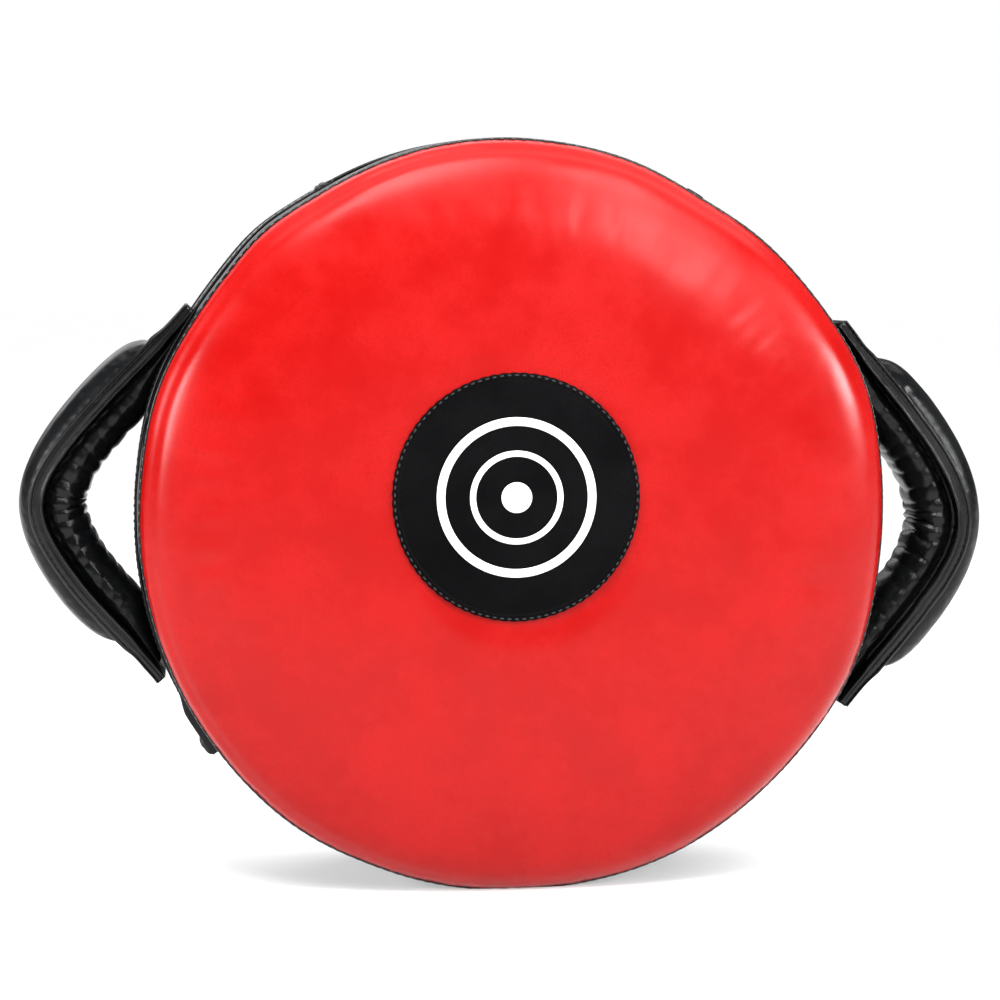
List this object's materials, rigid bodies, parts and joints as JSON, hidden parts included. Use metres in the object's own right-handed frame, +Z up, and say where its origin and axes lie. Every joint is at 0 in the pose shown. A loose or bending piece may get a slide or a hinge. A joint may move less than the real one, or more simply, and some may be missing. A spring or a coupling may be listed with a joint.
{
  "type": "trainer belly pad",
  "caption": "Round, deep foam strike pad in a sewn cover, with a padded grip loop on each side; its holder takes punches and kicks on the face.",
  "frame": {"origin": "on the floor, under the middle of the standing pad", "axes": "+Z up; the strike face looks along -Y; +X to the right as seen from the strike face; the pad's axis runs along Y"},
  "size_m": [0.5909, 0.1499, 0.452],
  "materials": {
    "red_leather": "smooth red synthetic leather with a soft gloss",
    "black_leather": "black synthetic leather with a fine grain and a soft gloss",
    "patch_leather": "matt black synthetic leather",
    "black_binding": "black edge binding, stitched through",
    "dense_foam": "dense closed-cell foam",
    "soft_foam": "open-cell foam",
    "webbing": "black woven strap",
    "zip_tape": "woven tape",
    "zip_coil": "nylon coil",
    "dark_metal": "blackened metal"
  },
  "bodies": {
    "pad": {"strike_foam": "dense_foam", "back_foam": "dense_foam", "core_foam_front": "soft_foam", "core_foam_rear": "soft_foam", "front_cover": "red_leather", "back_cover": "black_leather", "side_band": "black_leather", "front_seam_binding": "black_binding", "back_seam_binding": "black_binding", "target_patch": "patch_leather", "target_patch_binding": "black_binding", "left_upper_flap": "black_leather", "left_lower_flap": "black_leather", "left_carrier_band": "black_leather", "left_upper_carrier_tab": "black_binding", "left_upper_front_rivet": "dark_metal", "left_upper_rear_rivet": "dark_metal", "left_lower_carrier_tab": "black_binding", "left_lower_front_rivet": "dark_metal", "left_lower_rear_rivet": "dark_metal", "right_upper_flap": "black_leather", "right_lower_flap": "black_leather", "right_carrier_band": "black_leather", "right_upper_carrier_tab": "black_binding", "right_upper_front_rivet": "dark_metal", "right_upper_rear_rivet": "dark_metal", "right_lower_carrier_tab": "black_binding", "right_lower_front_rivet": "dark_metal", "right_lower_rear_rivet": "dark_metal", "zip_tape_front": "zip_tape", "zip_coil_front": "zip_coil", "zip_lip_front": "black_leather", "zip_tape_rear": "zip_tape", "zip_coil_rear": "zip_coil", "zip_lip_rear": "black_leather", "zip_end_tab_right": "black_binding", "zip_end_tab_left": "black_binding"},
    "left_loop": {"left_loop_pad_foam": "dense_foam", "left_loop_pad_cover": "black_leather", "left_grip_cover": "black_leather", "left_grip_foam": "soft_foam", "left_strap": "webbing", "left_edge_binding_front": "black_binding", "left_edge_binding_rear": "black_binding"},
    "right_loop": {"right_loop_pad_foam": "dense_foam", "right_loop_pad_cover": "black_leather", "right_grip_cover": "black_leather", "right_grip_foam": "soft_foam", "right_strap": "webbing", "right_edge_binding_front": "black_binding", "right_edge_binding_rear": "black_binding"},
    "zip_runner": {"zip_slider": "dark_metal", "zip_pull_pin": "dark_metal"},
    "pull_tab": {"zip_pull": "dark_metal"}
  },
  "joints": [
    {"name": "left_loop_flex", "type": "hinge", "parent": "pad", "child": "left_loop", "pos_m": [-0.222, 0.008, 0.223], "axis": [0, 0, 1], "range_deg": [-10, 10], "stiffness_Nm_per_rad": 2, "deforming": ["left_upper_flap", "left_lower_flap"]},
    {"name": "right_loop_flex", "type": "hinge", "parent": "pad", "child": "right_loop", "pos_m": [0.222, 0.008, 0.223], "axis": [0, 0, 1], "range_deg": [-10, 10], "stiffness_Nm_per_rad": 2, "deforming": ["right_upper_flap", "right_lower_flap"]},
    {"name": "zip_run", "type": "hinge", "parent": "pad", "child": "zip_runner", "pos_m": [0, 0.053, 0.223], "axis": [0, -1, 0], "range_deg": [0, 120]},
    {"name": "zip_pull_flip", "type": "hinge", "parent": "zip_runner", "child": "pull_tab", "pos_m": [0.20204, 0.053, 0.33499], "axis": [0, -1, 0], "range_deg": [0, 170]}
  ]
}
